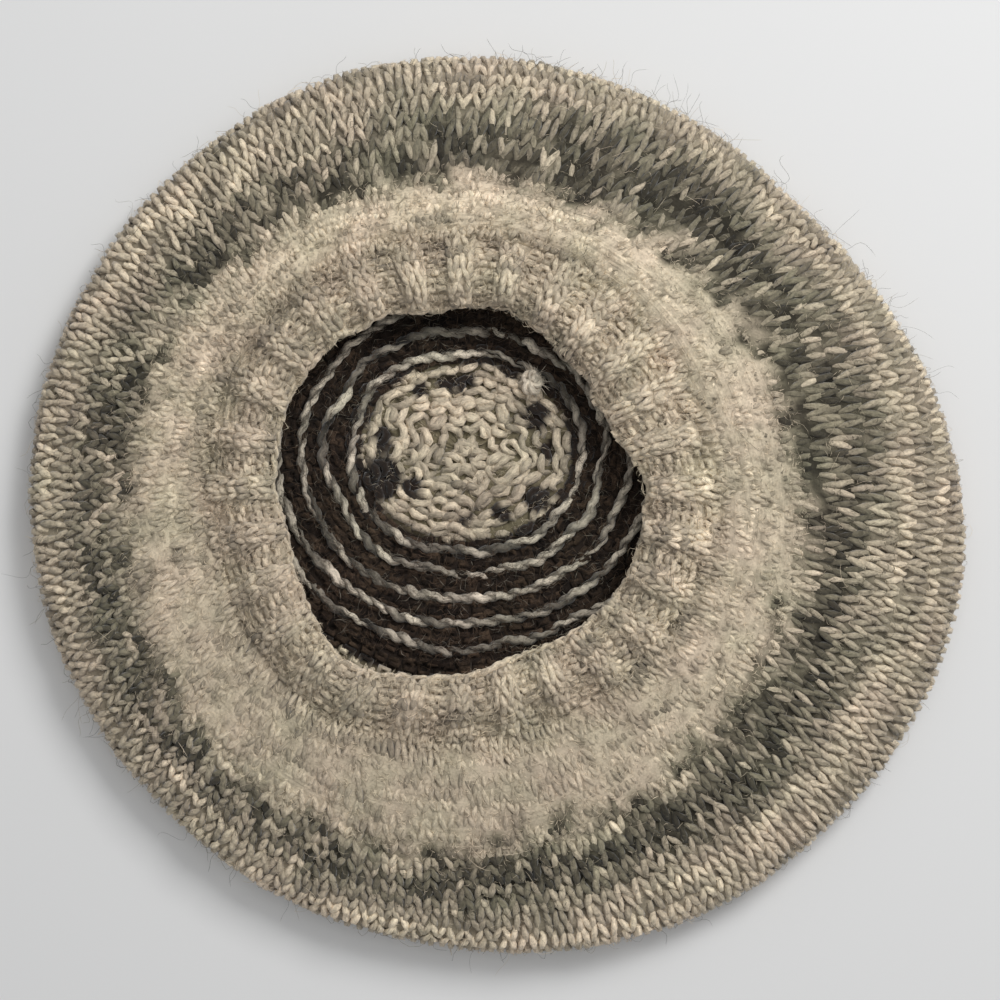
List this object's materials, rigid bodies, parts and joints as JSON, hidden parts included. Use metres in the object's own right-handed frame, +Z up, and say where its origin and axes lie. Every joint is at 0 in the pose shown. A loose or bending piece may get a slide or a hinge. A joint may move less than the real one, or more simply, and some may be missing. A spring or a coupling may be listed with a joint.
{
  "type": "tam o shanter hat",
  "caption": "Hand-knitted wool tam lying on its flat crown, with a wide soft body, a folded rim and a ribbed headband round an open mouth.",
  "frame": {"origin": "centre of the hat's bounding box on the surface that it lies on", "axes": "+Z up through the mouth, +X to the right of the picture along the hat's longest way, +Y to its top"},
  "size_m": [0.286, 0.274, 0.0239],
  "materials": {
    "wool_brown": "matt stranded wool knitting",
    "wool_grey": "matt wool stockinette",
    "wool_cream": "matt wool ribbing"
  },
  "bodies": {
    "root": {"crown": "wool_brown", "underside": "wool_grey", "ribbed_band": "wool_cream"}
  },
  "joints": []
}
